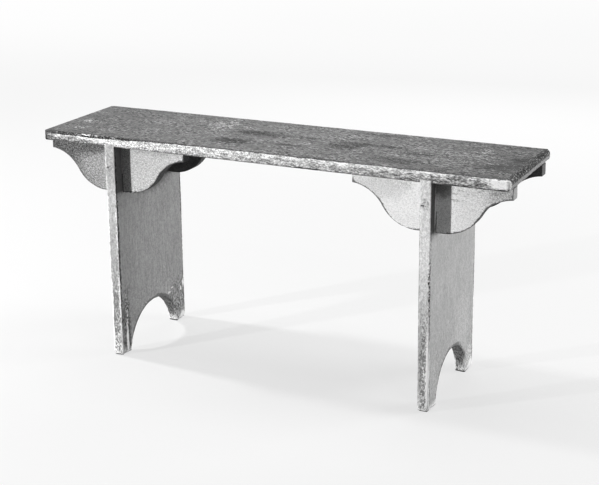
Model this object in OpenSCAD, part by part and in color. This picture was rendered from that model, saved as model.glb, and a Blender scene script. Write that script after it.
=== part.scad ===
// A low plank bench. The seat is one board, housed over the tops of two
// upright leg boards. Two ogee brackets cross each leg under the seat, halved
// through it, and cut nails hold the joints.
// X runs along the seat, Y from front to back, Z up. The origin is on the
// floor, under the middle of the seat.

/* [Seat] */
// Height of the seat's top above the floor
bench_height = 432; // [380:1:520]
// Length of the seat board
seat_length = 915; // [800:5:1500]
// Depth of the seat board from front to back, which the legs share
seat_depth = 235; // [225:1:320]
// Thickness of the seat board
seat_thickness = 19; // [16:0.5:32]
// Radius worn on the seat's upper edges
seat_top_round = 4; // [1:0.5:6]
// Radius worn on the seat's lower edges
seat_under_round = 1.5; // [0.5:0.5:3]
// Radius of the seat's corners, seen from above
seat_corner_r = 7; // [6:0.5:15]

/* [Legs] */
// Thickness of a leg board
leg_thickness = 20.5; // [16:0.5:30]
// Distance from the seat's end to the leg's outer face
leg_inset = 135.5; // [120:0.5:180]
// How far the leg's top is let into the seat's underside
housing_depth = 5; // [2:0.5:8]
// Height of the arch cut in each foot
arch_height = 77; // [60:1:110]
// Radius of the left leg's arch
left_arch_r = 88; // [70:1:95]
// Radius of the right leg's arch
right_arch_r = 78; // [70:1:95]
// Radius worn on the leg's upright edges
leg_edge_round = 2; // [0.5:0.5:4]
// Radius worn on the outer corners of the feet
foot_round = 4; // [1:0.5:8]

/* [Brackets] */
// Thickness of a bracket board
bracket_thickness = 22; // [16:0.5:28]
// Depth of the bracket at the leg, below the seat
bracket_drop = 92; // [80:1:120]
// Distance from the leg's front or rear edge to the bracket's outer face
bracket_setback = 24; // [18:0.5:34]
// Distance from the seat's end to the bracket's outer tip
bracket_end_inset = 1.5; // [0:0.5:10]
// Depth of the bracket at its tips
bracket_tip_depth = 20; // [12:0.5:30]
// Straight run of the bracket's lower edge on each side of the leg
bracket_belly = 15; // [5:0.5:30]
// Radius of both curves of the ogee
ogee_r = 72; // [60:0.5:90]

/* [Joints] */
// Depth of the notch in the bracket's lower edge, which straddles the leg
bracket_notch = 37; // [30:1:50]
// Gap at each side of the housings, slots and notches
joint_gap = 0.2; // [0:0.05:0.4]

/* [Nails] */
// Length of the nails driven down through the seat
seat_nail_length = 50; // [40:1:60]
// Length of the nails driven through the leg's edges into the brackets
edge_nail_length = 40; // [32:1:44]
// Width of a nail under its head
nail_width = 4; // [3:0.1:5]
// Width of a nail at its blunt point
nail_point_width = 2; // [1:0.1:2.8]
// Thickness of a nail, the same along its length
nail_thickness = 2.5; // [1.5:0.1:3.5]
// Length of a nail's head
nail_head_length = 6.5; // [5.5:0.1:8]
// Width of a nail's head
nail_head_width = 4; // [3.6:0.1:5]
// Thickness of a nail's head
nail_head_thickness = 1.5; // [1:0.1:2]
// How far a nail's head is set below the wood
nail_sink = 0.5; // [0.1:0.1:1]
// Gap round a nail in its hole
nail_gap = 0.05; // [0.02:0.01:0.1]
// Distance between the nails along a leg's top
leg_nail_spacing = 57; // [40:1:60]
// Distance from the leg's face to the nail over each arm of a bracket
bracket_nail_reach = 85; // [70:1:95]
// Height of the edge nails below the seat
edge_nail_drop = 40; // [30:1:45]
// Distance of the edge nails from the leg's left face
edge_nail_side = 5; // [5:0.5:8]

/* [Hidden] */
$fn = 96;

// Which leg, and which side of a leg
left = -1;
right = 1;
front = -1;
rear = 1;

// Heights of the levels where the boards meet
seat_under = bench_height - seat_thickness;
leg_top = seat_under + housing_depth;
belly_level = seat_under - bracket_drop;
lap_level = belly_level + bracket_notch;

// Places of the legs and brackets, on the positive side
leg_x = seat_length / 2 - leg_inset - leg_thickness / 2;
bracket_y = seat_depth / 2 - bracket_setback - bracket_thickness / 2;
bracket_reach = leg_inset - bracket_end_inset;

// The ogee's two centres, as distance from the leg's face and depth below the
// seat. The curves have one radius and meet halfway between the centres, where
// the two discs cross by a hair, so that their edges meet in one clean point.
disc_lap = 0.02;
hollow_depth = bracket_tip_depth + ogee_r;
swell_depth = bracket_drop - ogee_r;
hollow_reach = bracket_belly
    + sqrt(pow(2 * ogee_r - disc_lap, 2) - pow(hollow_depth - swell_depth, 2));
turn_depth = (hollow_depth + swell_depth) / 2;

// How far a cut runs past the surface that it opens
past = 1;

seat_colour = [0.47, 0.46, 0.44];
board_colour = [0.74, 0.73, 0.70];
bracket_colour = [0.68, 0.67, 0.64];
nail_colour = [0.20, 0.19, 0.18];

// Rectangle standing on the X axis, with its lower and upper corners rounded
module rounded_board(width, height, low_r, high_r) {
    translate([-width / 2, low_r])
        square([width, height - low_r - high_r]);
    translate([low_r - width / 2, 0])
        square([width - 2 * low_r, height / 2]);
    translate([high_r - width / 2, height / 2])
        square([width - 2 * high_r, height / 2]);
    for (side = [-1, 1]) {
        translate([side * (width / 2 - low_r), low_r])
            circle(low_r);
        translate([side * (width / 2 - high_r), height - high_r])
            circle(high_r);
    }
}

// Draws its children at each nail that goes down through the seat into a leg
module at_leg_nails(end) {
    for (step = [-1, 0, 1])
        translate([end * leg_x, step * leg_nail_spacing, bench_height - nail_sink])
            children();
}

// Draws its children at each nail that goes down through the seat into a bracket
module at_bracket_nails(end, side) {
    for (arm = [-1, 1])
        translate([
            end * leg_x + arm * (leg_thickness / 2 + bracket_nail_reach),
            side * bracket_y,
            bench_height - nail_sink
        ])
            children();
}

// Draws its child at the nail that goes through the leg's edge into a bracket
module at_edge_nail(end, side) {
    translate([
        end * leg_x - leg_thickness / 2 + edge_nail_side,
        side * (seat_depth / 2 - nail_sink),
        seat_under - edge_nail_drop
    ])
        rotate([side * -90, 0, 0])
            children();
}

// Cut nail with the top of its head at the origin and its point down: the
// shank tapers in width only. Its hole is the same shape, wider all round and
// open above.
module cut_nail(length, gap = 0, open = 0) {
    top_width = nail_width + 2 * gap;
    end_width = nail_point_width + 2 * gap;
    rotate([90, 0, 0])
        linear_extrude(nail_thickness + 2 * gap, center = true)
            polygon([
                [-top_width / 2, -nail_head_thickness / 2],
                [top_width / 2, -nail_head_thickness / 2],
                [end_width / 2, -length - gap],
                [-end_width / 2, -length - gap]
            ]);
    translate([
        -nail_head_length / 2 - gap,
        -nail_head_width / 2 - gap,
        -nail_head_thickness - gap
    ])
        cube([
            nail_head_length + 2 * gap,
            nail_head_width + 2 * gap,
            nail_head_thickness + gap + open
        ]);
}

module nail_hole(length) {
    cut_nail(length, nail_gap, nail_sink + past);
}

module seat_blank() {
    intersection() {
        rotate([90, 0, 90])
            linear_extrude(seat_length, center = true)
                rounded_board(seat_depth, seat_thickness, seat_under_round, seat_top_round);
        rotate([90, 0, 0])
            linear_extrude(seat_depth, center = true)
                rounded_board(seat_length, seat_thickness, seat_under_round, seat_top_round);
        translate([0, -seat_depth / 2, 0])
            linear_extrude(seat_thickness)
                rounded_board(seat_length, seat_depth, seat_corner_r, seat_corner_r);
    }
}

module seat_board() {
    color(seat_colour)
        difference() {
            translate([0, 0, seat_under])
                seat_blank();
            for (end = [left, right]) {
                translate([
                    end * leg_x - leg_thickness / 2 - joint_gap,
                    -seat_depth / 2 - past,
                    seat_under - past
                ])
                    cube([
                        leg_thickness + 2 * joint_gap,
                        seat_depth + 2 * past,
                        housing_depth + past
                    ]);
                at_leg_nails(end)
                    nail_hole(seat_nail_length);
                for (side = [front, rear])
                    at_bracket_nails(end, side)
                        nail_hole(seat_nail_length);
            }
        }
}

module leg(end, arch_r) {
    color(board_colour)
        difference() {
            translate([end * leg_x, 0, 0])
                intersection() {
                    rotate([90, 0, 90])
                        linear_extrude(leg_thickness, center = true)
                            difference() {
                                rounded_board(seat_depth, leg_top, foot_round, leg_edge_round);
                                translate([0, arch_height - arch_r])
                                    circle(arch_r, $fn = 2 * $fn);
                            }
                    translate([0, -seat_depth / 2, 0])
                        linear_extrude(leg_top)
                            rounded_board(leg_thickness, seat_depth, leg_edge_round, leg_edge_round);
                }
            for (side = [front, rear]) {
                translate([
                    end * leg_x - leg_thickness / 2 - past,
                    side * bracket_y - bracket_thickness / 2 - joint_gap,
                    lap_level
                ])
                    cube([
                        leg_thickness + 2 * past,
                        bracket_thickness + 2 * joint_gap,
                        leg_top - lap_level + past
                    ]);
                at_edge_nail(end, side)
                    nail_hole(edge_nail_length);
            }
            at_leg_nails(end)
                nail_hole(seat_nail_length);
        }
}

// One arm of a bracket, from the leg's middle out to the tip, drawn with depth
// below the seat as minus Y: the block and the swelling disc are joined, and
// the hollow is cut away with what lies past its crest
module bracket_arm() {
    half_leg = leg_thickness / 2;
    difference() {
        union() {
            translate([0, -bracket_drop])
                square([half_leg + bracket_belly, bracket_drop]);
            translate([0, -turn_depth])
                square([half_leg + bracket_reach, turn_depth]);
            translate([half_leg + bracket_belly, -swell_depth])
                intersection() {
                    circle(ogee_r, $fn = 2 * $fn);
                    translate([0, -ogee_r - past])
                        square(ogee_r + past);
                }
        }
        translate([half_leg + hollow_reach, -hollow_depth]) {
            circle(ogee_r, $fn = 2 * $fn);
            square([bracket_reach, ogee_r]);
        }
    }
}

module bracket(end, side) {
    color(bracket_colour)
        difference() {
            translate([end * leg_x, side * bracket_y, seat_under])
                rotate([90, 0, 0])
                    linear_extrude(bracket_thickness, center = true)
                        difference() {
                            union() {
                                bracket_arm();
                                mirror([1, 0])
                                    bracket_arm();
                            }
                            translate([
                                -leg_thickness / 2 - joint_gap,
                                -bracket_drop - past
                            ])
                                square([
                                    leg_thickness + 2 * joint_gap,
                                    bracket_notch + past
                                ]);
                        }
            at_bracket_nails(end, side)
                nail_hole(seat_nail_length);
            at_edge_nail(end, side)
                nail_hole(edge_nail_length);
        }
}

module leg_seat_nails(end) {
    color(nail_colour)
        at_leg_nails(end)
            cut_nail(seat_nail_length);
}

module bracket_seat_nails(end, side) {
    color(nail_colour)
        at_bracket_nails(end, side)
            cut_nail(seat_nail_length);
}

module edge_nail(end, side) {
    color(nail_colour)
        at_edge_nail(end, side)
            cut_nail(edge_nail_length);
}

seat_board();
leg(left, left_arch_r);  // left_leg
leg(right, right_arch_r);  // right_leg
bracket(left, front);  // front_left_bracket
bracket(left, rear);  // rear_left_bracket
bracket(right, front);  // front_right_bracket
bracket(right, rear);  // rear_right_bracket
leg_seat_nails(left);  // left_leg_seat_nails
leg_seat_nails(right);  // right_leg_seat_nails
bracket_seat_nails(left, front);  // front_left_bracket_seat_nails
bracket_seat_nails(left, rear);  // rear_left_bracket_seat_nails
bracket_seat_nails(right, front);  // front_right_bracket_seat_nails
bracket_seat_nails(right, rear);  // rear_right_bracket_seat_nails
edge_nail(left, front);  // front_left_edge_nail
edge_nail(left, rear);  // rear_left_edge_nail
edge_nail(right, front);  // front_right_edge_nail
edge_nail(right, rear);  // rear_right_edge_nail
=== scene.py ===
import math

import bpy
import numpy as np
from mathutils import Matrix, Vector, noise


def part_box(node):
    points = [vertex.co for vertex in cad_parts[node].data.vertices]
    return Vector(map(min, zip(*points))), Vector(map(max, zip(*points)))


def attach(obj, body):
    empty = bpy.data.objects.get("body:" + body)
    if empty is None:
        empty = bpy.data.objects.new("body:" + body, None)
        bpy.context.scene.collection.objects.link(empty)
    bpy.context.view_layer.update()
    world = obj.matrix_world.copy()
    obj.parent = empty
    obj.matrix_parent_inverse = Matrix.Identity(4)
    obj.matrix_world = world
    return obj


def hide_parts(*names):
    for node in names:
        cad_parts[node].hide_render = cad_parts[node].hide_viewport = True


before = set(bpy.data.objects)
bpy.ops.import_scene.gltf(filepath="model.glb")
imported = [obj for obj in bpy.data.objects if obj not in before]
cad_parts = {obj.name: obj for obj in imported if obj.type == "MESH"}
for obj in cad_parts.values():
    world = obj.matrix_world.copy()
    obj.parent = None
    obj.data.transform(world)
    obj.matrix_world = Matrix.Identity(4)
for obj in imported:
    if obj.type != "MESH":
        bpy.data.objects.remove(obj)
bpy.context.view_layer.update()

# Meshes are made in metres: a length in millimetres is written times MM
MM = 0.001
FRONT, BACK = -1, 1
LEFT, RIGHT = -1, 1
END_NAME = {FRONT: "front", BACK: "rear"}
SIDE_NAME = {LEFT: "left", RIGHT: "right"}

# The boards' places, read from the frame
SEAT_LOW, SEAT_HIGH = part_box("seat_board")
SEAT_TOP = SEAT_HIGH.z
SEAT_UNDER = SEAT_LOW.z
HALF_LENGTH = SEAT_HIGH.x
HALF_DEPTH = SEAT_HIGH.y
LEG_BOX = {LEFT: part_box("left_leg"), RIGHT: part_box("right_leg")}
LEG_TOP = LEG_BOX[LEFT][1].z
LEG_THICK = LEG_BOX[LEFT][1].x - LEG_BOX[LEFT][0].x

# The arch in each foot: radius of its circle and height of its crown
ARCH_R = {LEFT: 88 * MM, RIGHT: 78 * MM}
ARCH_CROWN = 77 * MM
# The slots for the brackets in the top of a leg
SLOT_IN = 71.3 * MM
SLOT_OUT = 93.7 * MM
SLOT_FLOOR = 358 * MM
# The brackets' ogee, and where its hollow ends, measured from the leg
BELLY = 15 * MM
OGEE_R = 72 * MM
TIP_DEPTH = 20 * MM
BRACKET_DROP = 92 * MM
HOLLOW_END = BELLY + math.sqrt((2 * OGEE_R) ** 2 - (TIP_DEPTH + 2 * OGEE_R - BRACKET_DROP) ** 2)
NOTCH_TOP = 358 * MM
JOINT_GAP = 0.2 * MM

# Wear: how rounded the arrises are, how deep the chips in them go, and what the
# outlines have lost
SEAT_ROUND = 2.2 * MM
SEAT_END_ROUND = 6 * MM
SEAT_CORNER = 6 * MM
LEG_ROUND = 1.5 * MM
TOE_ROUND = 4.3 * MM
BRACKET_ROUND = 1.1 * MM
JOINT_ROUND = 0.3 * MM
SEAT_CHIP = 1.1 * MM
LEG_CHIP = 1 * MM
BRACKET_CHIP = 0.9 * MM
TOE_LOSS = 1.6 * MM
LEG_DENT = 0.35 * MM
BELLY_LOSS = 3.2 * MM
# The pits round the nails in the legs' edges
PIT_REACH = (3.6 * MM, 6 * MM, 2.4 * MM)
PIT_DEPTH = 0.9 * MM

# Size of a cell beside an arris, and how much larger the next one is
FINE = 0.8 * MM
CELL_GROWTH = 1.35
# The steepest angle that is shaded smooth, in degrees
SMOOTH_ANGLE = 38
# Lengths that count as nothing: between points that touch, and in a division
TOUCHING = 1e-7
TINY = 1e-9


# Making meshes

def start_clean():
    """Leaves nothing selected, so that an operator acts only on the piece in hand."""
    if bpy.context.object and bpy.context.object.mode != "OBJECT":
        bpy.ops.object.mode_set(mode="OBJECT")
    bpy.ops.object.select_all(action="DESELECT")


def take_up(piece):
    start_clean()
    piece.select_set(True)
    bpy.context.view_layer.objects.active = piece


def points_of(piece):
    points = np.empty(len(piece.data.vertices) * 3)
    piece.data.vertices.foreach_get("co", points)
    return points.reshape(-1, 3)


def put_points(piece, points):
    piece.data.vertices.foreach_set("co", points.ravel())
    piece.data.update()


def keep_value(piece, name, values):
    """Keeps one number per vertex on the mesh, which goes along when it is extruded."""
    layer = piece.data.attributes.get(name)
    if layer is None:
        layer = piece.data.attributes.new(name, "FLOAT", "POINT")
    layer.data.foreach_set("value", np.ascontiguousarray(values, dtype=np.float32))


def kept_value(piece, name):
    values = np.empty(len(piece.data.vertices), dtype=np.float32)
    piece.data.attributes[name].data.foreach_get("value", values)
    return values.astype(float)


def kept_pair(piece, name):
    return np.stack([kept_value(piece, name + "_0"), kept_value(piece, name + "_1")], axis=1)


def graded(start, end, fine, coarse):
    """Places from start to end, close together at both ends and coarse in the middle."""
    length = abs(end - start)
    steps = []
    step = fine
    while step < coarse and 2 * (sum(steps) + step) < length:
        steps.append(step)
        step *= CELL_GROWTH
    middle = length - 2 * sum(steps)
    count = max(1, round(middle / coarse))
    whole = steps + [middle / count] * count + steps[::-1]
    places = np.concatenate([[0], np.cumsum(whole)]) / length
    return start + (end - start) * places


def joined(*runs):
    """Runs of places joined end to end, with each shared place once."""
    return np.concatenate([runs[0], *[run[1:] for run in runs[1:]]])


def flat_sheet(name, columns, rows, dropped=None):
    """A grid of that many cells, without the cells that dropped() names.

    Returns the sheet, and for each vertex its column and row."""
    start_clean()
    bpy.ops.mesh.primitive_grid_add(x_subdivisions=columns, y_subdivisions=rows, size=1)
    sheet = bpy.context.object
    sheet.name = name
    sheet.data.name = name
    if dropped:
        for face in sheet.data.polygons:
            centre = face.center
            face.select = dropped((centre.x + 0.5) * columns, (centre.y + 0.5) * rows)
        start_on_faces()
        bpy.ops.mesh.delete(type="FACE")
        bpy.ops.object.mode_set(mode="OBJECT")
    points = points_of(sheet)
    column = np.rint((points[:, 0] + 0.5) * columns).astype(int)
    row = np.rint((points[:, 1] + 0.5) * rows).astype(int)
    return sheet, column, row


def start_on_faces():
    """Starts editing with the faces that are marked as selected."""
    bpy.context.tool_settings.mesh_select_mode = (False, False, True)
    bpy.ops.object.mode_set(mode="EDIT")


def stop_editing():
    """Leaves the normals pointing out, and nothing selected."""
    bpy.ops.mesh.select_all(action="SELECT")
    bpy.ops.mesh.normals_make_consistent(inside=False)
    bpy.ops.mesh.select_all(action="DESELECT")
    bpy.ops.object.mode_set(mode="OBJECT")


def extrude(layers, axis):
    """Extrudes the selected faces along an axis, layer by layer."""
    for step in np.diff(layers):
        move = [0, 0, 0]
        move[axis] = float(step)
        bpy.ops.mesh.extrude_region_move(TRANSFORM_OT_translate={"value": tuple(move)})


def plane_beside(across):
    """The two axes of a board's outline, from the axis of its thickness."""
    return [axis for axis in range(3) if axis != across]


def raise_board(sheet, flat, across, layers, radius_at):
    """Gives a sheet its outline, and extrudes it through the board's thickness."""
    points = points_of(sheet)
    points[:, plane_beside(across)] = flat
    points[:, across] = layers[0]
    put_points(sheet, points)
    measure_rim(sheet, flat, radius_at)
    take_up(sheet)
    bpy.ops.object.mode_set(mode="EDIT")
    bpy.ops.mesh.select_all(action="SELECT")
    extrude(layers, across)
    stop_editing()


def outline_of(sheet):
    """The edges of the sheet's outline, each with the index of its only face."""
    faces = {}
    for face in sheet.data.polygons:
        for key in face.edge_keys:
            faces.setdefault(key, []).append(face.index)
    return [(key, uses[0]) for key, uses in faces.items() if len(uses) == 1]


def measure_rim(sheet, flat, radius_at):
    """Keeps, for each vertex, how far it is from the outline, the nearest place on
    it, which way is inward, and how rounded the outline is there."""
    outline = outline_of(sheet)
    start = np.array([flat[a] for (a, b), _ in outline])
    run = np.array([flat[b] for (a, b), _ in outline]) - start
    length2 = (run ** 2).sum(axis=1)
    away = np.empty(len(flat))
    near = np.empty((len(flat), 2))
    batch = 2000
    for first in range(0, len(flat), batch):
        some = slice(first, first + batch)
        part = flat[some, None, :] - start[None]
        along = np.clip((part * run).sum(axis=2) / length2, 0, 1)
        gap = part - along[..., None] * run
        dist = np.sqrt((gap ** 2).sum(axis=2))
        best = dist.argmin(axis=1)
        rows = np.arange(len(best))
        away[some] = dist[rows, best]
        near[some] = flat[some] - gap[rows, best]
    inward = inward_on_rim(sheet, outline, flat, away, near)
    keep_value(sheet, "rim_gap", away)
    for axis in (0, 1):
        keep_value(sheet, "rim_near_%d" % axis, near[:, axis])
        keep_value(sheet, "rim_in_%d" % axis, inward[:, axis])
    keep_value(sheet, "rim_round", [radius_at(*place) for place in near])


def inward_on_rim(sheet, outline, flat, away, near):
    """Unit directions from the outline into the board. On the outline itself the
    direction is square to the two runs that meet there."""
    inward = flat - near
    total = np.zeros_like(flat)
    for (a, b), face in outline:
        run = flat[b] - flat[a]
        square = np.array([-run[1], run[0]])
        corners = sheet.data.polygons[face].vertices
        middle = flat[list(corners)].mean(axis=0) - flat[a]
        square = square * np.sign((square * middle).sum()) / np.linalg.norm(square)
        total[a] += square
        total[b] += square
    on_rim = away < TOUCHING
    inward[on_rim] = total[on_rim]
    inward /= np.maximum(np.linalg.norm(inward, axis=1), TINY)[:, None]
    # At a corner both runs have to move in by the same depth, up to a limit
    size = np.linalg.norm(total, axis=1)
    met = on_rim & (size > 0.1)
    inward[met] *= (2 / np.maximum(size[met], 1.2))[:, None]
    return inward


# Wearing the boards

def field(points, size, seed):
    """Smooth noise from -1 to 1 at each point, with features about that size."""
    return np.array([noise.noise(Vector(p)) for p in points / size + seed * 7.31])


def ramp(value, low, high):
    share = np.clip((value - low) / (high - low), 0, 1)
    return share * share * (3 - 2 * share)


def worn_radius(base, place, seed, chip):
    """Radius of the arris at each place: uneven, and larger where a chip is out."""
    wavy = 1 + 0.35 * field(place, 34 * MM, seed) + 0.3 * field(place, 9 * MM, seed + 1)
    bite = ramp(field(place, 7 * MM, seed + 2), 0.25, 0.62)
    bite += 0.7 * ramp(field(place, 19 * MM, seed + 3), 0.3, 0.6)
    soft = ramp(base, 0.45 * MM, 1 * MM)
    return base * (1 + (wavy - 1) * soft) + chip * bite * soft


def round_over(gap, depth, radius):
    """How far each point moves in and across so that it lies on the rounded arris."""
    move_in, move_across = np.zeros((2, len(gap)))
    turned = (gap < radius) & (depth < radius)
    corner = np.stack([gap - radius, depth - radius], axis=1)[turned]
    pull = radius[turned] / np.maximum(np.linalg.norm(corner, axis=1), TINY)
    move_in[turned] = radius[turned] + corner[:, 0] * pull - gap[turned]
    move_across[turned] = radius[turned] + corner[:, 1] * pull - depth[turned]
    return move_in, move_across


def wear_board(board, across, low, high, seed, chip, nibble=None, pits=(), relief=0.15):
    """Rounds and chips the arrises, and gives the faces their slight unevenness.

    across is the axis of the thickness, which runs from low to high. seed picks the
    noise, and nibble() wears the outline away besides. Every move goes inward."""
    plane = plane_beside(across)
    points = points_of(board)
    gap = kept_value(board, "rim_gap")
    from_low = points[:, across] - low
    from_high = high - points[:, across]
    side = np.where(from_low < from_high, 1, -1)
    depth = np.minimum(from_low, from_high)
    keep_value(board, "arris", gap + depth)
    keep_value(board, "rim", gap)

    # The nearest place on an arris, and what is worn there
    place = np.zeros_like(points)
    place[:, plane] = kept_pair(board, "rim_near")
    place[:, across] = np.where(side > 0, low, high)

    close = (gap < 12 * MM) & (depth < 12 * MM)
    radius = np.zeros(len(points))
    radius[close] = worn_radius(kept_value(board, "rim_round")[close], place[close], seed, chip)
    move_in, move_across = round_over(gap, depth, radius)
    if nibble is not None:
        fade = 1 - ramp(gap, 0, 6 * MM)
        moved = fade > 0
        move_in[moved] += fade[moved] * nibble(place[moved])
    flat_face = depth < TOUCHING
    sway = relief * MM * (0.5 + 0.5 * field(points[flat_face], 120 * MM, seed + 5))
    move_across[flat_face] += sway * ramp(gap[flat_face], 0, 8 * MM)

    points[:, plane] += kept_pair(board, "rim_in") * move_in[:, None]
    points[:, across] += side * move_across
    for pit in pits:
        sink_pit(points, *pit)
    put_points(board, points)


def sink_pit(points, centre, direction):
    """Presses a small flat-bottomed pit into the surface round a nail's head."""
    offset = points - np.array(centre)
    share = np.sqrt(((offset / np.array(PIT_REACH)) ** 2).sum(axis=1))
    depth = PIT_DEPTH * (1 - ramp(share, 0.75, 1.25))
    points += depth[:, None] * np.array(direction)


def finish_piece(piece, nodes, material):
    take_up(piece)
    bpy.ops.object.shade_smooth_by_angle(angle=math.radians(SMOOTH_ANGLE))
    for name in piece.data.attributes.keys():
        if name.startswith("rim_"):
            piece.data.attributes.remove(piece.data.attributes[name])
    piece.data.materials.clear()
    piece.data.materials.append(material)
    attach(piece, "root")
    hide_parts(*nodes)
    start_clean()


# The seat

def round_corner(flat, half, radius):
    """Moves the points near a rectangle's corners so that its corners are round."""
    inner = np.array(half) - radius
    for sx in (-1, 1):
        for sy in (-1, 1):
            offset = flat * (sx, sy) - inner
            inside = (offset > 0).all(axis=1)
            part = offset[inside]
            scale = part.max(axis=1) / np.linalg.norm(part, axis=1)
            flat[inside] = (inner + part * scale[:, None]) * (sx, sy)
    return flat


def seat_round(x, y):
    """The right end is the most worn."""
    return SEAT_END_ROUND if x > HALF_LENGTH - 5 * MM else SEAT_ROUND


def make_seat(material):
    """One plank, with the housings for the legs cut across its underside."""
    stops = [-HALF_LENGTH]
    for low, high in LEG_BOX.values():
        stops += [low.x - JOINT_GAP, high.x + JOINT_GAP]
    stops.append(HALF_LENGTH)
    coarse = 3.2 * MM
    runs = []
    for start, end in zip(stops, stops[1:]):
        at_end = max(abs(start), abs(end)) > HALF_LENGTH - MM
        runs.append(graded(start, end, FINE if at_end else coarse, coarse))
    xs = joined(*runs)
    ys = graded(-HALF_DEPTH, HALF_DEPTH, FINE, 3.6 * MM)
    sheet, column, row = flat_sheet("worn_seat_board", len(xs) - 1, len(ys) - 1)
    flat = np.stack([xs[column], ys[row]], axis=1)
    flat = round_corner(flat, (HALF_LENGTH, HALF_DEPTH), SEAT_CORNER)
    housing = SEAT_UNDER + np.array([0, 0.8, 1.9, 3.3]) * MM
    housing = np.append(housing, LEG_TOP)
    layers = joined(housing, graded(LEG_TOP, SEAT_TOP, 0.9 * MM, 1.9 * MM))
    raise_board(sheet, flat, 2, layers, seat_round)
    cut_housings(sheet, housing)
    # How far a point is from the top's arris: above zero on the top, below it on an edge
    keep_value(sheet, "lip", kept_value(sheet, "rim_gap") - (SEAT_TOP - points_of(sheet)[:, 2]))
    wear_board(sheet, 2, SEAT_UNDER, SEAT_TOP, 3, SEAT_CHIP, relief=0.35)
    finish_piece(sheet, ["seat_board"], material)


def cut_housings(seat, layers):
    """Sinks the underside, layer by layer, where each leg's top is let in."""
    take_up(seat)
    spans = [(low.x - 2 * JOINT_GAP, high.x + 2 * JOINT_GAP) for low, high in LEG_BOX.values()]
    hair = 0.1 * MM

    def in_housing(x):
        return any(low < x < high for low, high in spans)

    for face in seat.data.polygons:
        centre = face.center
        face.select = in_housing(centre.x) and face.normal.z < -0.9 and centre.z < SEAT_UNDER + hair
    start_on_faces()
    extrude(layers, 2)
    bpy.ops.mesh.select_all(action="DESELECT")
    bpy.ops.object.mode_set(mode="OBJECT")
    for face in seat.data.polygons:
        centre = face.center
        at_end = abs(face.normal.y) > 0.9 and abs(centre.y) > HALF_DEPTH - hair
        face.select = at_end and in_housing(centre.x) and centre.z < LEG_TOP
    start_on_faces()
    bpy.ops.mesh.delete(type="FACE")
    bpy.ops.mesh.select_all(action="SELECT")
    bpy.ops.mesh.remove_doubles(threshold=0.01 * MM)
    stop_editing()


# The legs

def leg_sheet(side):
    """Lays out the leg's sheet. Its cells are led round the arch, which cuts none of
    them: rows go up the toes, then from the arch to a shoulder above it, then to the top.

    Returns the number of columns and of rows, a test for the cells that are dropped,
    and the place of a vertex in the board's own plane."""
    radius = ARCH_R[side]
    centre_z = ARCH_CROWN - radius
    split_turn = math.radians(45)
    split_y = radius * math.sin(split_turn)
    split_z = centre_z + split_y
    toe_lift = 4 * MM
    shoulder = 120 * MM
    coarse = 3.4 * MM
    half = joined(
        graded(HALF_DEPTH, SLOT_OUT, FINE, 2.6 * MM),
        graded(SLOT_OUT, SLOT_IN, 2.4 * MM, coarse),
        graded(SLOT_IN, split_y, FINE, coarse),
    )
    middle = np.linspace(split_y, -split_y, 2 * round(split_y / (2.6 * MM)) + 1)
    ys = joined(-half, -middle, half[::-1])
    first, last = len(half) - 1, len(half) + len(middle) - 2
    toe = graded(0, 1, 0.014, 0.05)
    rise = np.cumsum([0, 0.8, 1, 1.3, 1.7, 2.2, 2.8, 3.4, 3.8, 4.2, 4.6, 5, 5.4])
    rise /= rise[-1]
    top = joined(
        graded(shoulder, SLOT_FLOOR, 3.2 * MM, coarse),
        graded(SLOT_FLOOR, LEG_TOP, 2.4 * MM, 3.2 * MM),
    )
    crown_row = len(toe) - 1
    shoulder_row = crown_row + len(rise) - 1
    slot_row = shoulder_row + int(np.argmin(abs(top - SLOT_FLOOR)))
    foot_turn = math.acos(-centre_z / radius)

    def dropped(column, row):
        if first < column < last and row < crown_row:
            return True
        y = (ys[int(column)] + ys[int(column) + 1]) / 2
        return row > slot_row and SLOT_IN < abs(y) < SLOT_OUT

    def on_arch(turn):
        return radius * math.sin(turn), centre_z + radius * math.cos(turn)

    def place_of(column, row):
        y = ys[column]
        if row >= shoulder_row:
            return y, top[row - shoulder_row]
        across = (HALF_DEPTH - abs(y)) / (HALF_DEPTH - split_y)
        if row < crown_row:
            arch_y, arch_z = on_arch(foot_turn + (split_turn - foot_turn) * toe[row])
            outer_z = (split_z + toe_lift) * toe[row]
            inner_y = HALF_DEPTH + (arch_y - HALF_DEPTH) * across
            return math.copysign(inner_y, y), outer_z + (arch_z - outer_z) * across
        share = rise[row - crown_row]
        low_y, low_z = y, split_z + toe_lift * (1 - across)
        if first <= column <= last:
            low_y, low_z = on_arch(split_turn * y / split_y)
        return low_y + (y - low_y) * share, low_z + (shoulder - low_z) * share

    return len(ys) - 1, shoulder_row + len(top) - 1, dropped, place_of


def leg_round(y, z):
    """Hardly any rounding in the joints, and the most at the toes."""
    in_slot = z > SLOT_FLOOR - MM and abs(y) < SLOT_OUT + MM
    if in_slot or z > LEG_TOP - 0.1 * MM:
        return JOINT_ROUND
    low = 1 - ramp(z, 1 * MM, 14 * MM)
    return LEG_ROUND + TOE_ROUND * low * (0.3 + 0.7 * ramp(abs(y), 86 * MM, 104 * MM))


def toe_wear(place):
    """How far a leg's outline is worn away: the toes' outer corners most."""
    low = 1 - ramp(place[:, 2], 0, 9 * MM)
    out = ramp(abs(place[:, 1]), HALF_DEPTH - 9 * MM, HALF_DEPTH)
    rough = 0.5 + 0.5 * field(place, 5 * MM, 41)
    worn = TOE_LOSS * low * out * (0.4 + rough)
    return worn + LEG_DENT * ramp(field(place, 12 * MM, 43), 0.2, 0.6)


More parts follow.
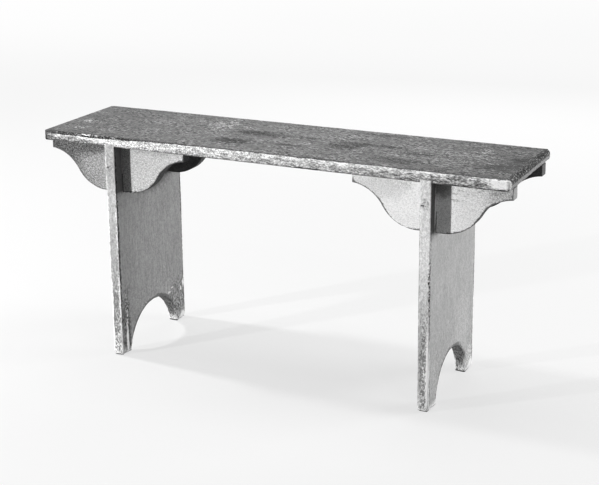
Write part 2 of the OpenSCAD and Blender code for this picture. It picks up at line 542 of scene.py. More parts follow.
def make_leg(side, material):
    """A board with an arch in its foot and two slots in its top."""
    name = SIDE_NAME[side] + "_leg"
    low, high = LEG_BOX[side]
    columns, rows, dropped, place_of = leg_sheet(side)
    sheet, column, row = flat_sheet("worn_" + name, columns, rows, dropped)
    flat = np.array([place_of(*cell) for cell in zip(column, row)])
    raise_board(sheet, flat, 0, graded(low.x, high.x, FINE, 1.9 * MM), leg_round)
    pits = []
    for end in (FRONT, BACK):
        nail_low, nail_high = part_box("%s_%s_edge_nail" % (END_NAME[end], SIDE_NAME[side]))
        nail = (nail_low + nail_high) / 2
        pits.append(((nail.x, end * HALF_DEPTH, nail.z), (0, -end, 0)))
    wear_board(sheet, 0, low.x, high.x, 21 + 10 * side, LEG_CHIP, nibble=toe_wear, pits=pits, relief=0.3)
    finish_piece(sheet, [name], material)


# The brackets

def ogee_depth(reach):
    """Depth of the bracket's lower edge below the seat, at a distance from the leg."""
    turn = (BELLY + HOLLOW_END) / 2
    if reach <= BELLY:
        return BRACKET_DROP
    if reach <= turn:
        return BRACKET_DROP - OGEE_R + math.sqrt(OGEE_R ** 2 - (reach - BELLY) ** 2)
    if reach < HOLLOW_END:
        return TIP_DEPTH + OGEE_R - math.sqrt(OGEE_R ** 2 - (HOLLOW_END - reach) ** 2)
    return TIP_DEPTH


def bracket_columns(reach):
    """Places along one arm, from the leg's middle out to the tip, about evenly
    spaced along the curved edge."""
    half_leg = LEG_THICK / 2 + JOINT_GAP
    sample = np.linspace(half_leg, reach, 900)
    depth = np.array([ogee_depth(x - LEG_THICK / 2) for x in sample])
    length = np.concatenate([[0], np.cumsum(np.hypot(np.diff(sample), np.diff(depth)))])
    even = graded(0, length[-1], 0.9 * MM, 2.6 * MM)
    run = np.interp(even, length, sample)
    return np.concatenate([[0, half_leg / 2], run])


def make_bracket(side, end, material, nibble=None):
    """An ogee board, notched to straddle the leg."""
    name = "%s_%s_bracket" % (END_NAME[end], SIDE_NAME[side])
    low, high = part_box(name)
    middle_x = (low.x + high.x) / 2
    arm = bracket_columns((high.x - low.x) / 2)
    xs = np.concatenate([-arm[::-1][:-1], arm])
    middle_column = len(arm) - 1
    notch_share = (NOTCH_TOP - low.z) / BRACKET_DROP
    shares = graded(0, 1, 0.012, 0.04)
    notch_row = int(np.argmin(abs(shares - notch_share)))
    shares[notch_row] = notch_share

    def dropped(column, row):
        return abs(column - middle_column) < 2 and row < notch_row

    def round_at(x, z):
        in_joint = z > SEAT_UNDER - 0.1 * MM or abs(x - middle_x) < LEG_THICK / 2 + 0.5 * MM
        return JOINT_ROUND if in_joint else BRACKET_ROUND

    sheet, column, row = flat_sheet("worn_" + name, len(xs) - 1, len(shares) - 1, dropped)
    depths = np.array([ogee_depth(abs(x) - LEG_THICK / 2) for x in xs])
    flat = np.stack([middle_x + xs[column], SEAT_UNDER - depths[column] * (1 - shares[row])], axis=1)
    raise_board(sheet, flat, 1, graded(high.y, low.y, FINE, 2.1 * MM), round_at)
    wear_board(sheet, 1, low.y, high.y, 61 + 4 * side + 9 * end, BRACKET_CHIP, nibble=nibble)
    finish_piece(sheet, [name], material)


def belly_bites(place):
    """The ragged underside of the front left bracket, right of the leg."""
    belly_level = SEAT_UNDER - BRACKET_DROP
    low = 1 - ramp(place[:, 2], belly_level + 1 * MM, belly_level + 9 * MM)
    near_leg = 1 - ramp(place[:, 0], -276 * MM, -262 * MM)
    right_arm = ramp(place[:, 0], -303 * MM, -300 * MM)
    rough = ramp(field(place, 3.5 * MM, 71), -0.15, 0.5)
    return BELLY_LOSS * low * near_leg * right_arm * rough


# Wiring shaders. The functions add to the node tree in hand, and take and give
# sockets or plain numbers. Noise reads a place in metres, but distances and places
# along an axis are in millimetres. Paint is a grey level of 255, coloured last.

tree_in_hand = None


def take_tree(tree):
    """Makes this the node tree that the functions below add to."""
    global tree_in_hand
    tree_in_hand = tree


def feed(socket, value):
    """Joins a socket to another node's output, or sets its number."""
    if isinstance(value, bpy.types.NodeSocket):
        tree_in_hand.links.new(value, socket)
    else:
        socket.default_value = value


def add_node(kind, inputs=(), **settings):
    """Adds a shader node, with what goes into its sockets by their names or numbers."""
    node = tree_in_hand.nodes.new("ShaderNode" + kind)
    for name, value in settings.items():
        setattr(node, name, value)
    for key, value in dict(inputs).items():
        feed(node.inputs[key], value)
    return node


def maths(operation, *values, clamp=False):
    return add_node("Math", enumerate(values), operation=operation, use_clamp=clamp).outputs[0]


def plus(first, second):
    return maths("ADD", first, second)


def minus(first, second):
    return maths("SUBTRACT", first, second)


def times(*values):
    total = values[0]
    for value in values[1:]:
        total = maths("MULTIPLY", total, value)
    return total


def absolute(value):
    return maths("ABSOLUTE", value)


def spread(value, low, high, to_low=0, to_high=1):
    """Turns a value's range from low to high into another one, and holds it at the ends."""
    inputs = {"Value": value, "From Min": low, "From Max": high, "To Min": to_low, "To Max": to_high}
    return add_node("MapRange", inputs, interpolation_type="SMOOTHSTEP").outputs["Result"]


def mixed(share, first, second):
    return add_node("Mix", {0: share, 2: first, 3: second}, data_type="FLOAT").outputs[0]


def varied(level, pattern, amount):
    """A level that follows a pattern, by this much between the pattern's ends."""
    return plus(level, times(minus(pattern, 0.5), amount))


def profile(place, stops):
    """A value that goes from stop to stop along one coordinate."""
    value = stops[0][1]
    for (start, _), (end, target) in zip(stops, stops[1:]):
        value = mixed(spread(place, start, end), value, target)
    return value


def flecks(pattern, cut):
    """Small sharp flecks, where a pattern passes this value."""
    return spread(pattern, cut, plus(cut, 0.04))


def cloud(vector, scale, detail=4, rough=0.55, twist=0):
    inputs = {"Vector": vector, "Scale": scale, "Detail": detail, "Roughness": rough, "Distortion": twist}
    return add_node("TexNoise", inputs).outputs["Fac"]


def vectors(operation, *values):
    outputs = add_node("VectorMath", enumerate(values), operation=operation).outputs
    return outputs["Value" if operation == "LENGTH" else "Vector"]


def stretched(vector, factors):
    return vectors("MULTIPLY", vector, factors)


def in_mm(vector):
    return stretched(vector, (1 / MM,) * 3)


def axes_of(vector):
    return add_node("SeparateXYZ", {0: vector}).outputs


def mesh_value(name):
    """A distance kept on the mesh, in millimetres."""
    return times(add_node("Attribute", attribute_name=name).outputs["Fac"], 1 / MM)


def box_in_mm(name):
    """The middle of a board, and half its size."""
    low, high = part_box(name)
    return (low + high) / 2 / MM, (high - low) / 2 / MM


def new_group(name, inputs, outputs):
    """A shared effect: a node group with named sockets. Gives back the group, the
    sockets that it reads and the node that it writes to."""
    group = bpy.data.node_groups.new(name, "ShaderNodeTree")
    for label, kind, value in inputs:
        socket = group.interface.new_socket(label, in_out="INPUT", socket_type="NodeSocket" + kind)
        socket.default_value = value
    for label in outputs:
        group.interface.new_socket(label, in_out="OUTPUT", socket_type="NodeSocketFloat")
    take_tree(group)
    return group, group.nodes.new("NodeGroupInput").outputs, group.nodes.new("NodeGroupOutput").inputs


def effect(group, vector, **values):
    """Puts a shared effect in a material, with its own values."""
    inputs = {name.capitalize(): value for name, value in values.items()}
    inputs["Vector"] = vector
    return add_node("Group", inputs, node_tree=group).outputs


# Effects that the materials share

VECTOR = ("Vector", "Vector", (0, 0, 0))
STRETCH = ("Stretch", "Vector", (1, 1, 1))
AMOUNT = ("Amount", "Float", 0.5)


def wood_grain():
    """Grain under thin paint: long streaks, and finer lines inside them."""
    group, src, out = new_group("wood_grain", [VECTOR, STRETCH], ["Streaks", "Lines"])
    along = stretched(src["Vector"], src["Stretch"])
    feed(out["Streaks"], spread(cloud(along, 14, 3, 0.5, 0.6), 0.3, 0.7))
    feed(out["Lines"], spread(cloud(along, 70, 4, 0.7, 0.3), 0.3, 0.7))
    return group


def arris_wear():
    """Paint rubbed off along the arrises. Reach is how far it goes from the arris,
    and Amount how much of the arris it takes."""
    lengths = [("Distance", "Float", 1), ("Reach", "Float", 3)]
    group, src, out = new_group("arris_wear", [VECTOR, *lengths, AMOUNT], ["Worn"])
    patches = cloud(src["Vector"], 32, 3, 0.6)
    ragged = cloud(src["Vector"], 260, 6, 0.72)
    pattern = minus(plus(patches, ragged), 1)
    near = minus(0.9, maths("DIVIDE", src["Distance"], src["Reach"]))
    total = plus(near, times(pattern, 3.6))
    total = plus(total, minus(src["Amount"], 0.5))
    feed(out["Worn"], spread(total, 0, 0.25))
    return group


def paint_grit():
    """The fine roughness of worn paint, in larger and smaller spots."""
    group, src, out = new_group("paint_grit", [VECTOR, STRETCH], ["Grit"])
    along = stretched(src["Vector"], src["Stretch"])
    large = spread(cloud(along, 250, 2, 0.6), 0.4, 0.6)
    small = spread(cloud(along, 540, 2, 0.6), 0.42, 0.58)
    feed(out["Grit"], mixed(0.55, large, small))
    return group


def chip_specks():
    """Small chips and pinholes in the paint, in loose flocks."""
    size = ("Size", "Float", 420)
    group, src, out = new_group("chip_specks", [VECTOR, size, AMOUNT], ["Specks"])
    dots = cloud(src["Vector"], src["Size"], 2, 0.6)
    flock = cloud(src["Vector"], 18, 3, 0.6)
    level = plus(dots, times(minus(flock, 0.5), 0.5))
    cut = minus(0.85, times(src["Amount"], 0.3))
    feed(out["Specks"], spread(level, cut, plus(cut, 0.05)))
    return group


def soft_patch():
    """A ragged oval patch at one place, for marks that the bench has there and for painted shade."""
    sockets = [("Centre", "Vector", (0, 0, 0)), ("Reach", "Vector", (1, 1, 1)), ("Ragged", "Float", 0.5)]
    group, src, out = new_group("soft_patch", [VECTOR, *sockets], ["Patch"])
    gap = vectors("SUBTRACT", src["Vector"], src["Centre"])
    size = vectors("LENGTH", vectors("DIVIDE", gap, src["Reach"]))
    ripple = minus(cloud(src["Vector"], 120, 5, 0.65), 0.5)
    edge = times(ripple, times(src["Ragged"], 4))
    feed(out["Patch"], spread(plus(size, edge), 1.25, 0.55))
    return group


GRAIN = wood_grain()
ARRIS = arris_wear()
GRIT = paint_grit()
SPECKS = chip_specks()
PATCH = soft_patch()


# Levels that several paints share, and how much they shine
ALMOST_BLACK = 34
BARE_WOOD = 236
PAINT_GLOSS = 0.16

# Marks on the seat's top: place in x and y, reach in x and y, level
STAINS = [
    (-60, 20, 52, 17, 32), (-90, -50, 38, 17, 40), (115, 0, 32, 26, 36), (155, 17, 60, 10, 42),
    (160, 95, 44, 8, 44), (30, 23, 30, 8, 48), (15, -40, 30, 8, 54), (235, -67, 44, 20, 50),
    (110, -113, 36, 7, 44), (265, -10, 34, 16, 52), (435, 0, 22, 44, 44), (415, -40, 32, 26, 48),
]
SCRATCHES = [
    (-405, -70, 14, 9, 226), (-415, -20, 18, 10, 226), (-270, 40, 34, 22, 158), (-260, -35, 30, 20, 158),
    (-160, 53, 30, 34, 218), (-113, 54, 14, 9, 210), (45, -18, 14, 12, 200), (70, 106, 16, 10, 170),
    (40, 37, 34, 16, 160), (85, 6, 30, 12, 160), (360, 56, 12, 18, 210), (340, 16, 44, 26, 180),
    (268, 19, 40, 26, 170), (392, -22, 12, 12, 200), (300, -30, 60, 18, 165),
]

# Stops of x and value along the seat's front edge: width of the paler band below
# the border, levels under it and in it, how far the streaks, specks and grit swing
# them, and strength of the dark line on the lower arris
EDGE_BAND = [(-450, 1), (-425, 3.4), (-370, 4.4), (-330, 6), (-290, 12), (-60, 12), (130, 8), (350, 7),
             (410, 7), (436, 18)]
EDGE_LOWER = [(-453, 50), (-447, 108), (-380, 126), (-330, 138), (-270, 162), (0, 172), (140, 172),
              (300, 150), (410, 146), (436, 236)]
EDGE_UPPER = [(-453, 50), (-447, 112), (-428, 218), (-320, 214), (-240, 200), (-60, 206), (200, 224),
              (330, 214), (380, 182), (416, 190), (436, 252)]
EDGE_STREAKS = [(-380, 30), (-200, 34), (0, 90), (350, 160), (415, 180), (440, 110)]
EDGE_SPECKS = [(-400, 70), (-200, 100), (0, 70), (200, 36)]
EDGE_GRIT = [(-400, 96), (-200, 84), (200, 110), (350, 140), (415, 140), (440, 60)]
EDGE_LINE = [(-440, 0.6), (-260, 0.4), (40, 0.6), (70, 1), (130, 1), (180, 0.5), (330, 0.6), (380, 0.95)]

# Marks on the legs and brackets, painted shade among them: centre, reach, level, and a pattern if there
# is one
LEFT_LEG_MARKS = [
    # Painted shade of the bracket on the face, below its belly
    ((-301.5, 20, 322), (6, 66, 26), 118), ((-301.5, 50, 340), (6, 50, 20), 112),
    # Rear toe
    ((-301.5, 94, 34), (6, 46, 58), 92, "dark"), ((-301.5, 96, 30), (6, 40, 52), 190, "pale"),
    ((-301.5, 112, 76), (6, 3, 8), 250), ((-301.5, 103, 66), (6, 3, 5), 236),
    ((-301.5, 58, 71), (6, 6, 2.5), 220), ((-301.5, 70, 78), (6, 5, 2), 214),
    ((-301.5, 107, 6), (6, 10, 12), 244), ((-301.5, 44, 132), (6, 3, 4), 220, "pale"),
    # Front toe
    ((-301.5, -100, 50), (6, 14, 80), 70, "dark"), ((-301.5, -99, 60), (6, 4, 60), 236, "pale"),
    ((-301.5, -99, 26), (6, 4, 40), 250), ((-301.5, -92, 32), (6, 2, 40), 70),
    # A dark ragged line on the face along the front edge, and a pale one beside it
    ((-301, -114.5, 240), (2.4, 3.4, 210), 48, "dark"), ((-301, -116, 240), (1.8, 1.4, 210), 60),
    ((-303.5, -117.5, 255), (2, 4, 90), 250, "pale"), ((-304, -117.5, 110), (3, 4, 70), 244, "pale"),
    # Chips in the front edge, and rust below the nail
    ((-309, -117.5, 127), (5, 4, 5), 236, "pale"), ((-312, -117.5, 20), (14, 4, 34), 236, "pale"),
    ((-312, -117.5, 372), (7, 4, 7), 120, "dark"),
]
RIGHT_LEG_MARKS = [
    # The face at the rear toe and above it, and a line on the front edge
    ((322, 98, 24), (6, 22, 30), 244, "pale"), ((322, 60, 120), (6, 40, 60), 200, "pale"),
    ((322, 104, 6), (6, 14, 12), 244), ((321, -117.5, 232), (2.6, 4, 44), 60, "dark"),
    # Low on the front edge: worn grey on the left, bare on the right
    ((305, -117.5, 80), (5, 4, 90), 178), ((310, -117.5, 84), (7, 4, 80), 120, "dark"),
    ((320, -117.5, 66), (4, 4, 92), 246), ((316, -117.5, 50), (6, 4, 74), 244, "pale"),
    ((311, -117.5, 16), (14, 4, 26), 230, "pale"),
    # Rust below the nail, dirt along both arrises, and a pale line beside the bracket
    ((311, -117.5, 376), (8, 4, 10), 140, "dark"), ((322, -115.5, 230), (4, 1.6, 110), 110, "dark"),
    ((301.5, -117.5, 210), (1.6, 4, 190), 104), ((322, -96.5, 360), (6, 2.6, 44), 250),
]
FRONT_LEFT_MARKS = [
    # Painted shade: the two marks under the seat (the second with darker paint on the left arm too), the
    # leg's shadow at x -293, and the ragged dark line along the bitten belly at z 323
    ((-250, -94, 412), (90, 6, 14), 160), ((-390, -94, 408), (70, 6, 22), 84),
    ((-293, -94, 366), (14, 6, 70), 154),
    ((-262, -94, 380), (14, 6, 40), 166, "streak"), ((-266, -94, 323), (26, 6, 8), 40, "streak"),
]
FRONT_RIGHT_MARKS = [
    # Painted shade under the seat: the marks at x 225, 328 and 410, and the dark line at 334 just below
    # it
    ((225, -94, 395), (50, 6, 26), 218), ((328, -94, 418), (26, 6, 34), 150),
    ((362, -94, 396), (30, 6, 6), 176, "streak"), ((360, -94, 382), (20, 6, 4), 176, "streak"),
    ((410, -94, 408), (50, 6, 12), 160, "streak"), ((266, -94, 400), (14, 6, 9), 204),
    ((268, -94, 401), (20, 6, 15), 255, "chips"), ((334, -94, 412), (18, 6, 2.6), 70),
]


# Materials

def new_material(name, rough, gloss=PAINT_GLOSS):
    """A material in hand, with its shader and the place on the piece that it reads."""
    material = bpy.data.materials.new(name)
    material.use_nodes = True
    take_tree(material.node_tree)
    shader = material.node_tree.nodes["Principled BSDF"]
    feed(shader.inputs["Roughness"], rough)
    feed(shader.inputs["Specular IOR Level"], gloss)
    return material, shader, add_node("TexCoord").outputs["Object"]


def finish_surface(shader, level, height, distance):
    """Colours the shader with a grey level of 255, and raises it by up to the distance."""
    share = maths("DIVIDE", level, 255, clamp=True)
    feed(shader.inputs["Base Color"], maths("POWER", share, 2.2))
    bump = add_node("Bump", {"Distance": distance, "Height": height})
    feed(shader.inputs["Normal"], bump.outputs["Normal"])


def marked(place, level, marks, ragged, patterns):
    """Takes a level towards another one in a patch for each mark: all over it, or
    only where the pattern that the mark names says."""
    for centre, reach, target, *names in marks:
        patch = effect(PATCH, place, centre=tuple(c * MM for c in centre),
                       reach=tuple(r * MM for r in reach), ragged=ragged)["Patch"]
        level = mixed(times(patch, *[patterns[name] for name in names]), level, target)
    return level


def on_top(spots, pattern):
    """The marks for a list of places, reaches and levels on the seat's top."""
    return [((x, y, SEAT_TOP / MM), (reach_x, reach_y, 40), level, pattern)
            for x, y, reach_x, reach_y, level in spots]


def seat_top(place, x, grit):
    """The dark, trodden paint of the top, as a level."""
    broad = cloud(stretched(place, (1, 2.6, 1)), 9, 5, 0.6)
    streak = cloud(stretched(place, (0.22, 1, 1)), 120, 4, 0.7)
    fleck = cloud(stretched(place, (0.4, 1, 1)), 430, 3, 0.75)
    level = profile(x, [(-420, 97), (-40, 104), (200, 98), (400, 80)])
    level = varied(level, broad, 46)
    level = varied(level, streak, 50)
    rough = spread(cloud(stretched(place, (1, 1.8, 1)), 16, 3), 0.38, 0.62, 0.4, 1.3)
    level = varied(level, grit, times(rough, profile(x, [(-300, 94), (-60, 104), (100, 122)])))

    patterns = {"smear": spread(streak, 0.38, 0.54, 0.25, 1), "pale": spread(fleck, 0.53, 0.58)}
    level = marked(place, level, on_top(STAINS, "smear"), 0.9, patterns)
    often = profile(x, [(-440, 0.63), (-100, 0.6), (120, 0.58), (300, 0.57), (420, 0.6)])
    level = mixed(times(flecks(fleck, often), 0.7), level, 172)
    return marked(place, level, on_top(SCRATCHES, "pale"), 1.3, patterns)


def seat_edge(x, z, over, streak, speck, grit):
    """The seat's front edge, as a level: pale bare ground below the border of the
    dark paint, greyer farther down, and a dark line along the lower arris."""
    band = profile(x, EDGE_BAND)
    deep = minus(0, varied(over, streak, 26))
    deep = varied(deep, speck, 10)
    in_band = spread(deep, plus(band, 1.5), minus(band, 1))
    level = mixed(in_band, profile(x, EDGE_LOWER), profile(x, EDGE_UPPER))
    swing = times(profile(x, EDGE_STREAKS), spread(in_band, 0, 1, 0.65, 1.35))
    level = varied(level, streak, swing)
    level = varied(level, spread(speck, 0.42, 0.58), profile(x, EDGE_SPECKS))
    level = varied(level, grit, profile(x, EDGE_GRIT))
    height = varied(minus(z, SEAT_UNDER / MM), streak, 9)
    return mixed(times(spread(height, 3.2, 1.8), profile(x, EDGE_LINE)), level, 56)


def seat_paint():
    """Dark worn paint on top, rubbed through to a pale ground along the front arris."""
    material, shader, place = new_material("worn_seat_paint", 0.72)
    grain = effect(GRAIN, place, stretch=(1, 9, 9))
    grit = effect(GRIT, place, stretch=(0.34, 0.8, 1))["Grit"]
    x, y, z = axes_of(in_mm(place))
    lip = mesh_value("lip")
    speck = cloud(place, 340, 4, 0.72)
    streak = cloud(stretched(place, (0.3, 1, 1.7)), 210, 4, 0.72)
    front, right_end, under_side = -HALF_DEPTH / MM, HALF_LENGTH / MM, SEAT_UNDER / MM

    # The border of the dark paint: over the arris on the left, onto the top elsewhere
    at_front = spread(y, front + 30, front + 24)
    ragged = cloud(stretched(place, (0.45, 1, 1)), 95, 6, 0.78)
    border = profile(x, [(-450, -5), (-340, -5.6), (-280, -3.4), (-200, -0.5), (-60, 2.5), (440, 3.2)])
    border = mixed(at_front, -5, border)
    swing = mixed(at_front, 12, profile(x, [(-330, 5), (-150, 13), (0, 26)]))
    over = minus(varied(lip, ragged, swing), border)
    dark = spread(over, -0.4, 0.4)

    # Dark paint is thickest, and almost black, beside the border
    thick = profile(x, [(-300, 12), (-230, 9), (100, 8)])
    strength = profile(x, [(-452, 0.5), (-425, 1), (-300, 1), (-200, 0.8), (0, 0.55)])
    beside = times(at_front, spread(over, thick, times(thick, 0.7)), strength)
    pinholes = times(spread(speck, 0.55, 0.6), profile(x, [(-250, 0.75), (-100, 0.4)]))
    black = mixed(pinholes, varied(ALMOST_BLACK, grit, 30), 180)
    top = mixed(beside, seat_top(place, x, grit), black)
    edge = seat_edge(x, z, over, streak, speck, grit)
    edge = mixed(at_front, varied(150, grit, 50), edge)
    level = mixed(dark, edge, top)
    chips = times(spread(streak, 0.54, 0.57), spread(absolute(lip), 3.6, 2.4),
                  profile(x, [(-400, 0), (-370, 1), (-320, 1), (-290, 0)]), at_front)
    level = mixed(chips, level, BARE_WOOD)

    # Along the right end it is black too, down to the middle of the edge
    at_end = times(spread(y, front + 4, front + 7),
                   spread(varied(x, speck, 8), right_end - 12, right_end - 10))
    specks = flecks(speck, profile(y, [(-116, 0.55), (-60, 0.57), (40, 0.575)]))
    black = mixed(specks, varied(ALMOST_BLACK, grit, 44), 176)
    upper_half = spread(varied(lip, speck, 12), -10, -8.5)
    level = mixed(at_end, level, mixed(upper_half, varied(132, grit, 60), black))

    # Painted shade: the underside is painted dark
    level = mixed(spread(z, under_side + 1.2, under_side + 0.3), level, varied(88, grit, 24))
    feed(shader.inputs["Roughness"], spread(grain["Streaks"], 0, 1, 0.62, 0.8))
    height = plus(times(grain["Lines"], 0.5), times(dark, 0.6))
    finish_surface(shader, level, plus(height, times(grit, 0.5)), 0.25 * MM)
    return material


def leg_paint(leg, inner, outer, edge_stops, arch, painted_shade_beside_bracket, marks):
    """Paint on a leg, from the levels of the face towards the middle of the bench, the
    outer face, the edges from stop to stop up the leg, the arch, whose dark level is
    painted shade, and the painted shade on the part of the face beside the bracket."""
    material, shader, place = new_material(leg + "_paint", 0.7)
    grain = effect(GRAIN, place, stretch=(13, 13, 1))
    x, y, z = axes_of(in_mm(place))
    arris = mesh_value("arris")
    on_rim = spread(mesh_value("rim"), 1.3, 0.7)
    scuff = cloud(stretched(place, (1, 1, 0.5)), 420, 4, 0.72)
    grit = effect(GRIT, place, stretch=(1, 1, 0.6))["Grit"]
    broad = cloud(place, 16, 4, 0.6)
    low = profile(z, [(30, 0.85), (140, 0.5), (230, 0)])

    # The faces
    middle = box_in_mm(leg)[0].x
    facing_right = spread(x, middle - 2, middle + 2)
    left_face, right_face = (outer, inner) if middle < 0 else (inner, outer)
    face = mixed(facing_right, left_face, right_face)
    face = varied(face, broad, 24)
    face = varied(face, grain["Lines"], -22)
    face = varied(face, grain["Streaks"], 10)
    face = varied(face, grit, spread(z, 150, 60, 28, 46))

    # The edges, and the inside of the arch, whose dark level is painted shade
    at_arch = times(spread(z, 84, 78), spread(absolute(y), 103, 96))
    rim = varied(profile(z, edge_stops), broad, 22)
    rim = varied(rim, grit, 46)
    rim = mixed(times(low, spread(scuff, 0.5, 0.44)), rim, 90)
    rim = mixed(times(low, spread(scuff, 0.56, 0.62)), rim, BARE_WOOD)
    inside = varied(arch, grit, 80)
    inside = mixed(times(spread(scuff, 0.54, 0.6), 0.55), inside, 196)
    inside = mixed(times(spread(z, 26, 4), spread(scuff, 0.46, 0.54)), inside, 228)
    rim = mixed(at_arch, rim, inside)

    # Dirt beside the arrises of the faces, and paint rubbed off on the arrises
    amount = profile(z, [(76, 0.85), (110, 0.45)])
    arris_darkening = effect(ARRIS, place, distance=arris, reach=4.6, amount=amount)["Worn"]
    face = mixed(times(arris_darkening, 0.7), face, 92)
    # Painted shade: the face in front of and behind the brackets, above their bellies, is painted darker
    past_slot, belly_level = SLOT_OUT / MM, (SEAT_UNDER - BRACKET_DROP) / MM
    painted_shade_zone = times(spread(absolute(y), past_slot - 3, past_slot - 2), facing_right,
                       spread(z, belly_level + 1, belly_level + 5))
    face = mixed(painted_shade_zone, face, varied(painted_shade_beside_bracket, grit, 16))
    level = mixed(on_rim, face, rim)
    along = stretched(place, (1, 1, 0.6))
    amount = spread(z, 220, 30, 0.42, 0.95)
    worn = effect(ARRIS, along, distance=arris, reach=2.4, amount=amount)["Worn"]
    clear = times(minus(1, times(at_arch, spread(z, 20, 40))), minus(1, painted_shade_zone))
    level = mixed(times(worn, clear), level, varied(232, grit, 40))

    patterns = {"pale": spread(scuff, 0.52, 0.57), "dark": spread(scuff, 0.52, 0.47)}
    level = marked(place, level, marks, 0.4, patterns)
    level = mixed(times(spread(z, 16, 3), spread(scuff, 0.42, 0.5)), level, 240)
    # A painted contact shadow: the soles and the lowest couple of millimetres are almost black
    level = mixed(spread(z, 2.6, 1.8), level, ALMOST_BLACK)
    height = plus(times(grain["Lines"], 0.5), times(scuff, 0.5))
    finish_surface(shader, level, minus(height, times(worn, 0.7)), 0.22 * MM)
    return material


def bracket_paint(bracket, face_stops, back, tip, grit_stops, under=66, uneven=24, marks=()):
    """Paint on a bracket: its level and its grit go from stop to stop along the
    board. The underside and the tip have their own levels, a dark one there being
    painted shade, and a darker line runs above the curve."""
    material, shader, place = new_material(bracket + "_paint", 0.7)
    grain = effect(GRAIN, place, stretch=(1, 11, 11))
    x, y, z = axes_of(in_mm(place))
    arris = mesh_value("arris")
    grit = effect(GRIT, place, stretch=(1.2, 1.2, 1.5))["Grit"]
    streak = cloud(stretched(place, (0.25, 1, 1)), 260, 4, 0.72)
    broad = cloud(stretched(place, (1, 1, 1.6)), 26, 4, 0.6)
    chip = cloud(place, 400, 4, 0.72)
    middle, half = box_in_mm(bracket)
    half_leg, seat_level = LEG_THICK / 2 / MM, SEAT_UNDER / MM

    # The face towards the inside of the bench is painted darker than the outer one, as painted shade
    level = mixed(spread(y, middle.y - 2, middle.y + 2), profile(x, face_stops), back)
    level = varied(level, broad, uneven)
    level = varied(level, grain["Lines"], -12)
    patterns = {"streak": spread(streak, 0.54, 0.59), "chips": spread(chip, 0.54, 0.58)}
    level = marked(place, level, marks, 0.3, patterns)
    level = varied(level, grit, profile(x, grit_stops))
    holes = effect(SPECKS, place, size=340, amount=0.42)["Specks"]
    level = mixed(times(holes, 0.5), level, 110)

    # Darker along the arrises, away from the seat and the leg
    arris_darkening = effect(ARRIS, place, distance=arris, reach=2.4, amount=0.7)["Worn"]
    far = absolute(minus(x, middle.x))
    clear = times(spread(z, seat_level - 6, seat_level - 16), spread(far, half_leg + 2, half_leg + 8))
    level = mixed(times(arris_darkening, clear, 0.8), level, 84)
    # The edges take the under level and the tip end the tip level: painted shade where they are dark
    at_tip = spread(far, half.x - 2.5, half.x - 1.2)
    rim = varied(mixed(at_tip, under, tip), grit, 30)
    level = mixed(spread(mesh_value("rim"), 1.2, 0.6), level, rim)
    height = plus(times(grain["Lines"], 0.5), times(grit, 0.5))
    finish_surface(shader, level, height, 0.2 * MM)
    return material


def nail_iron():
    """Old wrought iron: dark, with rust in patches."""
    material, shader, place = new_material("old_nail_iron", 0.6, 0.5)
    rust = spread(cloud(place, 900, 5, 0.7), 0.4, 0.62)
    feed(shader.inputs["Roughness"], spread(rust, 0, 1, 0.45, 0.8))
    finish_surface(shader, mixed(rust, 62, 84), rust, 0.12 * MM)
    return material


# The bench

make_seat(seat_paint())
make_leg(LEFT, leg_paint(
    "left_leg", inner=154, outer=150, arch=84, painted_shade_beside_bracket=112, marks=LEFT_LEG_MARKS,
    edge_stops=[(20, 176), (90, 142), (200, 162), (320, 176), (370, 164)]))
make_leg(RIGHT, leg_paint(
    "right_leg", inner=178, outer=171, arch=98, painted_shade_beside_bracket=104, marks=RIGHT_LEG_MARKS,
    edge_stops=[(20, 172), (90, 166), (160, 200), (300, 226), (370, 222)]))
# Painted shade in the brackets' levels: the inner faces (the backs of the front brackets, the fronts of
# the rear ones), the undersides and the dark tips
make_bracket(LEFT, FRONT, bracket_paint(
    "front_left_bracket", back=120, tip=60, grit_stops=[(-400, 92), (-330, 66)],
    face_stops=[(-456, 60), (-414, 88), (-376, 136), (-345, 142), (-330, 178), (-180, 186)],
    marks=FRONT_LEFT_MARKS), nibble=belly_bites)
make_bracket(LEFT, BACK, bracket_paint(
    "rear_left_bracket", back=168, tip=90, grit_stops=[(0, 24)], face_stops=[(0, 90)]))
make_bracket(RIGHT, FRONT, bracket_paint(
    "front_right_bracket", back=130, under=80, tip=150, grit_stops=[(220, 40), (380, 44), (430, 90)],
    face_stops=[(180, 226), (240, 240), (350, 236), (390, 226), (446, 176)],
    uneven=10, marks=FRONT_RIGHT_MARKS))
make_bracket(RIGHT, BACK, bracket_paint(
    "rear_right_bracket", back=176, tip=84, grit_stops=[(0, 24)], face_stops=[(0, 90)]))

iron = nail_iron()
for node_name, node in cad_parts.items():
    if "nail" in node_name:
        node.data.materials.clear()
        node.data.materials.append(iron)


# The studio. Lengths are in metres again.

FLOOR_PAINT = (0.24, 0.24, 0.24, 1)
WHITE = (1, 1, 1, 1)
WORLD_LIGHT = 0.05
WORLD_SEEN = 0.91

# The camera, fitted to the photograph: the picture's size, the row of its middle
# point straight ahead and the lens, all in pixels, then its place and its axes
PICTURE_WIDE = 599
PICTURE_HIGH = 485
AHEAD_ROW = 180
FOCAL_PIXELS = 1390.8
CAMERA_PLACE = (1.0955, -2.2102, 1.0324)
CAMERA_AXES = (
    (0.90065, 0.43442, -0.01005),
    (-0.10644, 0.24296, 0.96418),
    (0.42130, -0.86732, 0.26506),
)


def seen_directly():
    """1 for rays that show the background, and 0 for those that light the bench."""
    path = add_node("LightPath").outputs
    seen = plus(path["Is Camera Ray"], path["Is Glossy Ray"])
    return maths("ADD", seen, path["Is Transmission Ray"], clamp=True)


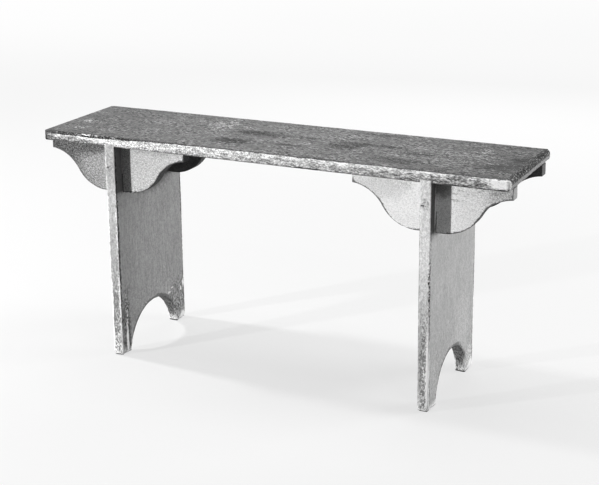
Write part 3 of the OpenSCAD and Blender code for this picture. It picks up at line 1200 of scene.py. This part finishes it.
def pale_floor():
    """A pale floor that the camera sees almost white, under the bench's soft shadow."""
    start_clean()
    bpy.ops.mesh.primitive_plane_add(size=40, location=(0, 0, 0))
    floor = bpy.context.object
    floor.name = "studio_floor"
    material, shader, place = new_material("pale_floor", 0.9, 0)
    feed(shader.inputs["Base Color"], FLOOR_PAINT)
    feed(shader.inputs["Emission Color"], WHITE)
    level = spread(axes_of(place)[1], 0.5, 3.5, 0.64, 0.86)
    level = mixed(spread(vectors("LENGTH", place), 2.2, 6), level, 0.96)
    feed(shader.inputs["Emission Strength"], times(seen_directly(), level))
    floor.data.materials.append(material)
    start_clean()


def studio_world():
    world = bpy.data.worlds.new("studio")
    bpy.context.scene.world = world
    world.use_nodes = True
    take_tree(world.node_tree)
    back = world.node_tree.nodes["Background"]
    feed(back.inputs["Color"], WHITE)
    feed(back.inputs["Strength"], plus(WORLD_LIGHT, times(seen_directly(), WORLD_SEEN)))


def add_lamp(name, kind, power, place, target=(0, 0, 0.3), **settings):
    data = bpy.data.lights.new(name, kind)
    data.energy = power
    for key, value in settings.items():
        setattr(data, key, value)
    lamp = bpy.data.objects.new(name, data)
    bpy.context.scene.collection.objects.link(lamp)
    lamp.location = place
    lamp.rotation_euler = (Vector(target) - Vector(place)).to_track_quat("-Z", "Y").to_euler()


def add_camera():
    """The photograph's view, from the front, the right and above."""
    data = bpy.data.cameras.new("photo_view")
    camera = bpy.data.objects.new("photo_view", data)
    bpy.context.scene.collection.objects.link(camera)
    data.sensor_width = 36
    data.lens = FOCAL_PIXELS / PICTURE_WIDE * data.sensor_width
    data.shift_y = (AHEAD_ROW - PICTURE_HIGH / 2) / PICTURE_WIDE
    turn = Matrix(CAMERA_AXES).transposed().to_4x4()
    camera.matrix_world = Matrix.Translation(CAMERA_PLACE) @ turn
    bpy.context.scene.camera = camera


pale_floor()
studio_world()
add_lamp("key_lamp", "POINT", 336, (-1.88, -2, 0.46), shadow_soft_size=0.05)
add_lamp("left_lamp", "POINT", 190, (-2.1, 0, 1.95), shadow_soft_size=0.10)
add_lamp("fill_lamp", "POINT", 15, (1.6, -1.35, 1.75), shadow_soft_size=0.08)
add_lamp("right_wall", "AREA", 54, (2.2, 1.2, 0.7), shape="RECTANGLE", size=1.4, size_y=1)
add_lamp("soft_top", "AREA", 18, (0, 0.2, 2.3), target=(0, 0, 0), shape="RECTANGLE", size=1.6, size_y=1.2)
add_lamp("back_light", "AREA", 12, (-0.4, 2.2, 1.2), shape="RECTANGLE", size=1.6, size_y=1.2)
add_camera()
bpy.context.scene.view_settings.view_transform = "Standard"
